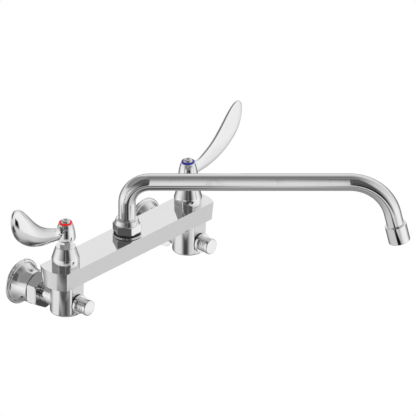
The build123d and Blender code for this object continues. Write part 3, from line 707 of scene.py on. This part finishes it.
def flangeProfile():
    s = flangeSet
    outer, rim, front = s["radius"], s["rim"], s["bellLength"]
    step = rim / 4
    curve, foot, inner = outer - s["curveStep"], rim + step, front - s["wall"]
    profile = [(outer - s["wall"] - 1, 0), (outer, 0), (outer, 2 * step), (outer - s["shoulder"], 3 * step),
               (outer - s["rimStep"], 3 * step), (outer - s["rimStep"], rim), (curve, foot)]
    for n in range(1, s["rings"] + 1):  # the bell narrows in a hollow curve and opens a little at the nut
        t = n / s["rings"]
        radius = s["waist"] + (curve - s["waist"]) * (1 - t) ** 3 + (s["bell"] - s["waist"]) * t ** 4
        profile.append((radius, foot + t * (front - foot)))
    throat = s["waist"] - s["throatWall"]
    return profile + [(s["hole"], front), (s["hole"], inner), (throat, inner), (throat, foot)]

def addFlanges():
    s = flangeSet
    # The screws stand round the bell, pointing outwards.
    spots = [Matrix.Rotation(2 * pi / s["screws"] * n, 4, "Z") @ Matrix.Translation((0, 0, s["screwAt"]))
             @ Matrix.Rotation(-pi / 2, 4, "X") for n in range(s["screws"])]
    flange = roundEdges(turned("flange", flangeProfile(), 128), s["edge"], 3, 25)
    for spot in spots:
        hole = drum(s["screw"] + s["screwRoom"], s["screwTip"], s["radius"], spot, 32)
        combine(flange, hole, "DIFFERENCE")
    cleanUp(flange)
    settlePair(flange, "WallFlange", atInlet, "root", "polished_chrome", "wall_flange")
    tip, shank, head = s["screwTip"], s["screw"], s["screwHead"]
    seat = s["waist"] + s["screwSeat"]
    top = seat + s["screwProud"]
    screw = turned("flangeScrew", [(0, tip), (shank, tip), (shank, seat), (head, seat), (head, top),
                                   (0, top)], 32)
    roundEdges(screw, s["headRound"], 4)
    combine(screw, block((0, 0, top), (8, s["slot"], s["slot"])), "DIFFERENCE")
    screws = [copyOf(screw) for spot in spots]
    for twin, spot in zip(screws, spots):
        applyPlace(twin, spot)
    bpy.data.objects.remove(screw)
    pick(*screws)
    bpy.ops.object.join()
    settlePair(screws[0], "FlangeScrews", atInlet, "root", "screw_chrome", "flange_screws")

addFlanges()

unionSet = {"corner": 21.0, "low": 24.6, "high": 38.0, "chamfer": 1.6, "edge": 0.3, "bore": 17.0,
            "boreEnd": 34.5, "throat": 12.3}
tailSet = {"bore": 6.5, "collar": 15.8, "body": 12, "end": 9.4, "back": 31, "collarEnd": 34.5, "bodyEnd": 48,
           "front": 56, "edge": 0.3}

def addUnions():
    s = unionSet
    corner, low, high, cut = s["corner"], s["low"], s["high"], s["chamfer"]
    limits = [(0, low), (corner - cut, low), (corner, low + cut), (corner, high - cut), (corner - cut, high),
              (0, high)]
    bores = [(s["bore"], low - 1, s["boreEnd"]), (s["throat"], low, high + 1)]
    nut = hexNut("unionNut", corner, low, high, limits, 0, bores, s["edge"])
    settlePair(nut, "UnionNut", atInlet, "root", "polished_chrome", "union_nut")
    s = tailSet
    tail = turned("tailpiece", [(s["bore"], s["back"]), (s["collar"], s["back"]),
                                (s["collar"], s["collarEnd"]), (s["body"], s["collarEnd"]),
                                (s["body"], s["bodyEnd"]), (s["end"], s["bodyEnd"]),
                                (s["end"], s["front"]), (s["bore"], s["front"])])
    roundEdges(tail, s["edge"], 2)
    settlePair(tail, "Tailpiece", atInlet, "root", "polished_chrome", "tailpiece")

addUnions()
print("inlets ready")


# stops

stopSet = {"gasket": 9.9, "gasketBore": 8.3, "gasketBack": 16.9, "gasketFront": 19.3, "gasketRound": 0.3,
           "ring": 10.9, "ringLength": 3.0, "neck": 8.5, "neckLength": 9.4, "ridges": 3, "groove": 0.55,
           "edge": 0.25, "bore": 6.3, "floor": 1.5, "stem": 4.05, "threadBack": 9.5, "thread": 8.2,
           "cap": 8.85, "capLength": 3.5, "capRound": 1.0, "capRoom": 0.1, "capHole": 4.2, "plugDepth": 3}

def addStops():
    s = stopSet
    back, seat, hole = s["gasketBack"], s["gasketFront"], s["gasketBore"]
    gasket = turned("stopGasket", [(hole, back), (s["gasket"], back), (s["gasket"], seat), (hole, seat)])
    roundEdges(gasket, s["gasketRound"])
    settlePair(gasket, "StopGasket", atStop, "root", "black_rubber", "stop_gasket")
    ringFront = seat + s["ringLength"]
    front = ringFront + s["neckLength"]
    neck, low = s["neck"], s["neck"] - s["groove"]
    pitch = s["neckLength"] / (s["ridges"] + 0.5)
    profile = [(s["thread"], s["threadBack"]), (s["thread"], seat), (s["ring"], seat), (s["ring"], ringFront)]
    for n in range(s["ridges"]):  # each groove takes 0.3 of the pitch, and its slope 0.15
        start = ringFront + n * pitch
        profile += [(low, start), (low, start + 0.3 * pitch), (neck, start + 0.45 * pitch),
                    (neck, start + pitch)]
    floor = seat + s["floor"]
    profile += [(low, front - 0.5 * pitch), (low, front), (s["bore"], front), (s["bore"], floor),
                (s["stem"], floor), (s["stem"], s["threadBack"])]
    bonnet = turned("stopBonnet", profile)
    roundEdges(bonnet, s["edge"], clamp=False)
    settlePair(bonnet, "StopBonnet", atStop, "root", "polished_chrome", "stop_bonnet")
    end = front + s["capLength"]
    plug, plugEnd, rim = s["bore"] - s["capRoom"], front - s["plugDepth"], s["cap"]
    cap = turned("stopCap", [(0, front), (s["capHole"], front), (s["capHole"], plugEnd), (plug, plugEnd),
                             (plug, front), (rim, front), (rim, end), (0, end)])
    def onRim(co):
        return co.z > end - 0.01 and co.xy.length > rim - 0.1
    selectBy(cap, edges=lambda a, b: onRim(a) and onRim(b))
    bpy.ops.mesh.bevel(offset=s["capRound"], segments=6, affect="EDGES")
    editMode(False)
    settlePair(cap, "StopCap", atStop, "root", "polished_chrome", "stop_cap")

addStops()
print("stops ready")


# valve bonnets

bonnetSet = {"foot": 15.8, "straight": 8.2, "top": 11.2, "height": 22.5, "swell": 0.05, "swellUp": 0.4,
             "rings": 6, "wall": 1.8, "hole": 5.8, "edge": 0.35}
packingSet = {"corner": 6.6, "top": 29.3, "chamfer": 0.8, "bore": 5.56, "roof": 0.3, "hole": 4.5,
              "edge": 0.12}

def addBonnets():
    s = bonnetSet
    foot, height, wall = s["foot"], s["height"], s["wall"]
    def flank(inset, top):
        points = []
        for n in range(s["rings"] + 1):
            t = n / s["rings"]
            bulge = 4 * t * (1 - t) * s["swell"]
            points.append((foot - inset + (s["top"] - foot) * t + bulge,
                           s["straight"] + (top - s["straight"]) * t + bulge * s["swellUp"]))
        return points
    ceiling = height - wall
    profile = [(foot - wall, 0), (foot, 0)] + flank(0, height) + [(s["hole"], height), (s["hole"], ceiling)]
    profile += list(reversed(flank(wall, ceiling)))
    bonnet = turned("bonnet", profile, 128)
    roundEdges(bonnet, s["edge"])
    settlePair(bonnet, "Bonnet", atValve, "root", "polished_chrome", "bonnet", smooth=40)
    s = packingSet
    corner, low, high, cut = s["corner"], height, s["top"], s["chamfer"]
    limits = [(0, low), (corner, low), (corner, high - cut), (corner - cut, high), (0, high)]
    bores = [(s["bore"], low - 1, high - s["roof"]), (s["hole"], low, high + 1)]
    nut = hexNut("packingNut", corner, low, high, limits, 0, bores, s["edge"], True)
    settlePair(nut, "PackingNut", atValve, "root", "polished_chrome", "packing_nut")

addBonnets()
print("bonnets ready")


# handles

handleSet = {"foot": 29.6, "top": 50.6, "hubFoot": 30.9, "footRound": 0.8, "socket": 2.95,
             "socketDepth": 16.8, "screwHole": 1.95, "edge": 2.4, "flatSwell": 0.5, "around": 24,
             "tipStart": 80}
# Belly of the hub, from its foot to its top.
hubFlank = [(11.0, handleSet["hubFoot"]), (11.05, 33), (10.95, 36), (10.55, 39.5), (9.95, 43), (9.1, 46.7),
            (7.75, handleSet["top"])]
# Blade sections from root to tip: lower edge, upper edge (out, up), thickness, set-off to the flat side.
bladeSections = [
    ((4.0, 3.0), (4.0, 19.8), 13.0, 0.6),
    ((7.6, 3.4), (7.6, 19.4), 9.2, 0.9),
    ((9.8, 3.8), (9.8, 18.9), 6.6, 1.2),
    ((12.0, 4.1), (12.0, 18.5), 5.2, 1.5),
    ((16.0, 4.4), (16.0, 18.9), 4.8, 1.6),
    ((30.0, 5.4), (27.0, 23.4), 5.8, 1.2),
    ((45.0, 8.7), (38.5, 29.2), 6.4, 0.6),
    ((60.0, 13.9), (50.0, 38.4), 6.6, 0.0),
    ((74.0, 23.4), (60.0, 49.7), 6.4, 0.0),
    ((84.0, 33.9), (68.5, 59.4), 5.6, 0.0),
    ((88.9, 47.9), (76.0, 65.4), 4.6, 0.0),
    ((89.4, 58.0), (82.3, 67.2), 3.4, 0.0),
    ((89.1, 61.8), (85.6, 66.4), 2.4, 0.0),
]

def bladeRing(lower, upper, thick, offset):  # one section, nearly flat on one side and round on the other
    s = handleSet
    pick()
    bpy.ops.mesh.primitive_circle_add(vertices=s["around"], radius=1)
    ring = bpy.context.object
    edge = min(s["edge"], thick / 2) / 2
    roundSide = thick - (edge + s["flatSwell"])
    across = Vector((upper[0] - lower[0], 0, upper[1] - lower[1]))
    half = across.length / 2 + edge / 2
    selectBy(ring, points=lambda co: True)
    bpy.ops.transform.resize(value=(half, roundSide, 1), center_override=(0, 0, 0))
    editMode(False)
    selectBy(ring, points=lambda co: co.y < -0.001)
    bpy.ops.transform.resize(value=(1, s["flatSwell"] / roundSide, 1), center_override=(0, 0, 0))
    bpy.ops.transform.translate(value=(0, -edge, 0))
    editMode(False)
    along = across.normalized()
    sideways = Vector((0, 1, 0))
    upright = Matrix((along, sideways, along.cross(sideways))).transposed().to_4x4()
    middle = Vector(((lower[0] + upper[0]) / 2, -offset, (lower[1] + upper[1]) / 2 + s["foot"]))
    applyPlace(ring, Matrix.Translation(middle) @ upright)
    return ring

def bladeSolid():
    rings = [bladeRing(*section) for section in bladeSections]
    pick(*rings)
    bpy.ops.object.join()
    blade = bpy.context.object
    blade.name = "blade"
    editMode(True)
    bpy.ops.mesh.select_all(action="SELECT")
    bpy.ops.mesh.bridge_edge_loops()
    editMode(False)
    mesh = blade.data
    for atTip in (True, False):  # close both open ends
        pick(blade)
        editMode(True)
        bpy.ops.mesh.select_mode(type="EDGE")
        bpy.ops.mesh.select_all(action="DESELECT")
        bpy.ops.mesh.select_non_manifold()
        editMode(False)
        for edge in mesh.edges:
            if (mesh.vertices[edge.vertices[0]].co.x > handleSet["tipStart"]) != atTip:
                edge.select = False
        editMode(True)
        bpy.ops.mesh.edge_face_add()
        editMode(False)
    cleanUp(blade)
    step = blade.modifiers.new("smoothBlade", "SUBSURF")
    step.levels = step.render_levels = 2
    bpy.ops.object.modifier_apply(modifier=step.name)
    return blade

def addHandles():
    s = handleSet
    hub = turned("hub", [(0, s["hubFoot"])] + hubFlank + [(0, s["top"])], 128)
    roundEdges(hub, s["footRound"], 4)
    combine(hub, bladeSolid(), "UNION")
    width, depth = 2 * s["socket"], s["socketDepth"]
    combine(hub, block((0, 0, s["foot"] + depth / 2), (width, width, depth + 0.02)), "DIFFERENCE")
    combine(hub, drum(s["screwHole"], s["foot"] - 1, s["top"] + 1, None, 32), "DIFFERENCE")
    cleanUp(hub)
    for side in sides:
        turn = pi if side == "hot" else 0
        settle(copyOf(hub), side + "Handle", atValve(side, turn), side + "_handle_set", "handle_chrome",
               side + "_handle", smooth=40)
    bpy.data.objects.remove(hub)

addHandles()
print("handles ready")

screwSet = {"head": 5.55, "height": 3.9, "dome": 2.6, "domeSteps": 8, "recess": 2.1, "recessDepth": 1.9,
            "recessRim": 0.5, "shank": 1.9, "shankLow": 33.1}
ringSet = {"outer": 7.4, "inner": 5.65, "thick": 1.35, "edge": 0.3}

def addHandleScrews():
    s = screwSet
    base = handleSet["top"]
    top = base + s["height"]
    hole, floor, inner = s["recess"], top - s["recessDepth"], s["recess"] + s["recessRim"]
    profile = [(0, s["shankLow"]), (s["shank"], s["shankLow"]), (s["shank"], base), (s["head"], base)]
    for n in range(s["domeSteps"] + 1):
        lean = pi / 2 * n / s["domeSteps"]
        profile.append((inner + (s["head"] - inner) * cos(lean), top - s["dome"] + s["dome"] * sin(lean)))
    profile += [(hole + 0.2, top - 0.05), (hole, top - 0.3), (hole, floor), (0, floor)]
    screw = turned("handleScrew", profile, 64)
    settlePair(screw, "HandleScrew", atValve, "{}_handle_set", "screw_chrome", "handle_screw", smooth=40)
    s = ringSet
    top = base + s["thick"]
    ring = turned("indexRing", [(s["inner"], base), (s["outer"], base), (s["outer"], top), (s["inner"], top)])
    roundEdges(ring, s["edge"])
    for side, slot in (("hot", "index_red"), ("cold", "index_blue")):
        settle(copyOf(ring), side + "IndexRing", atValve(side), side + "_handle_set", slot,
               side + "_index_ring")
    bpy.data.objects.remove(ring)

addHandleScrews()


# spout

spoutSet = {"tube": 9.7, "wall": 0.8, "start": 14.0, "run": 63.2, "riserBend": 25.3, "endStart": 247.0,
            "endBend": 48.8, "endTurn": 77.0, "tail": 21.0, "around": 96, "riserSteps": 28, "endSteps": 36}

def addSpoutTube():
    s = spoutSet
    lean = radians(s["endTurn"])
    riserTop, endLow = s["run"] - s["riserBend"], s["run"] - s["endBend"]
    def goOn(x, z):
        bpy.ops.mesh.extrude_region_move(TRANSFORM_OT_translate={"value": (x, 0, z)})
    def bend(steps, angle, x, z):  # spin turns the other way round here
        bpy.ops.mesh.spin(steps=steps, angle=-angle, center=(x, 0, z), axis=(0, 1, 0))
    pick()
    bpy.ops.mesh.primitive_circle_add(vertices=s["around"], radius=s["tube"], location=(0, 0, s["start"]))
    tube = bpy.context.object
    bpy.ops.object.transform_apply(location=True)
    editMode(True)
    bpy.ops.mesh.select_all(action="SELECT")
    goOn(0, riserTop - s["start"])
    bend(s["riserSteps"], pi / 2, s["riserBend"], riserTop)
    goOn(s["endStart"] - s["riserBend"], 0)
    bend(s["endSteps"], lean, s["endStart"], endLow)
    goOn(s["tail"] * cos(lean), -s["tail"] * sin(lean))
    editMode(False)
    cleanUp(tube)
    step = tube.modifiers.new("tubeWall", "SOLIDIFY")
    step.thickness = s["wall"]
    step.offset = -1
    bpy.ops.object.modifier_apply(modifier=step.name)
    settle(tube, "spoutTube", atSpout, "spout", "polished_chrome", "spout_tube", smooth=40)

addSpoutTube()
print("spout tube ready")

spoutNutSet = {"corner": 16.4, "base": 3.2, "hexTop": 13.0, "top": 19.1, "chamfer": 1.2, "cone": 14.3,
               "coneEnd": 12.6, "mouth": 11.8, "bore": 13.1, "boreEnd": 14.1, "throat": 10.5, "edge": 0.25}
footSet = {"radius": 16.5, "rim": 1.2, "neck": 13, "neckTop": 10.5, "bore": 10.15, "boreFloor": 3,
           "port": 7, "plug": 9.5, "plugFoot": -8.5, "edge": 0.25, "gasket": 15.3, "gasketBore": 13.1,
           "gasketRound": 0.6}

def addSpoutNut():
    s = spoutNutSet
    corner, base, hexTop, top, cut = s["corner"], s["base"], s["hexTop"], s["top"], s["chamfer"]
    limits = [(0, base), (corner - cut, base), (corner, base + cut), (corner, hexTop - 0.5),
              (corner - cut, hexTop + 0.1), (s["cone"], hexTop + 0.4), (s["coneEnd"], top - 0.6),
              (s["mouth"], top), (0, top)]
    bores = [(s["bore"], base - 1, s["boreEnd"]), (s["throat"], base, top + 1)]
    nut = hexNut("spoutNut", corner, base, top, limits, pi / 6 - restTurn, bores, s["edge"])
    settle(nut, "spoutNut", atSpout, "root", "polished_chrome", "spout_nut", smooth=28)
    s = footSet
    foot = turned("spoutBase", [(s["port"], s["plugFoot"]), (s["plug"], s["plugFoot"]), (s["plug"], 0),
                                (s["radius"], 0), (s["radius"], s["rim"]), (s["neck"], s["rim"]),
                                (s["neck"], s["neckTop"]), (s["bore"], s["neckTop"]),
                                (s["bore"], s["boreFloor"]), (s["port"], s["boreFloor"])])
    roundEdges(foot, s["edge"], 2)
    gasket = turned("spoutGasket", [(s["gasketBore"], s["rim"]), (s["gasket"], s["rim"]), (s["gasket"], base),
                                    (s["gasketBore"], base)], 128)
    roundEdges(gasket, s["gasketRound"], 4)
    settle(gasket, "spoutGasket", atSpout, "root", "black_rubber", "spout_gasket")
    settle(foot, "spoutBase", atSpout, "root", "polished_chrome", "spout_base")

addSpoutNut()

aeratorSet = {"radius": 12.25, "length": 20.65, "overlap": 6.0, "throat": 9.75, "mouth": 9.0, "lip": 2,
              "wall": 1.6, "edge": 0.6}

def addAerator():
    s, tube = aeratorSet, spoutSet
    lean = radians(tube["endTurn"])
    down = Vector((cos(lean), 0, -sin(lean)))
    level = Vector((0, 1, 0))
    bendEnd = Vector((tube["endStart"] + tube["endBend"] * sin(lean), 0,
                      tube["run"] - tube["endBend"] * (1 - cos(lean))))
    start = bendEnd + down * (tube["tail"] - s["overlap"])
    turn = Matrix((level, down.cross(level), down)).transposed().to_4x4()
    radius, length, inside, lip = s["radius"], s["length"], s["radius"] - s["wall"], s["length"] - s["lip"]
    housing = turned("aerator", [(s["throat"], 0), (radius, 0), (radius, length), (s["mouth"], length),
                                 (s["mouth"], lip), (inside, lip), (inside, s["overlap"]),
                                 (s["throat"], s["overlap"])], 128)
    roundEdges(housing, s["edge"], 4)
    place = atSpout @ Matrix.Translation(start * 0.001) @ turn
    settle(housing, "aeratorHousing", place, "spout", "polished_chrome", "aerator_housing")

addAerator()
print("spout ready")
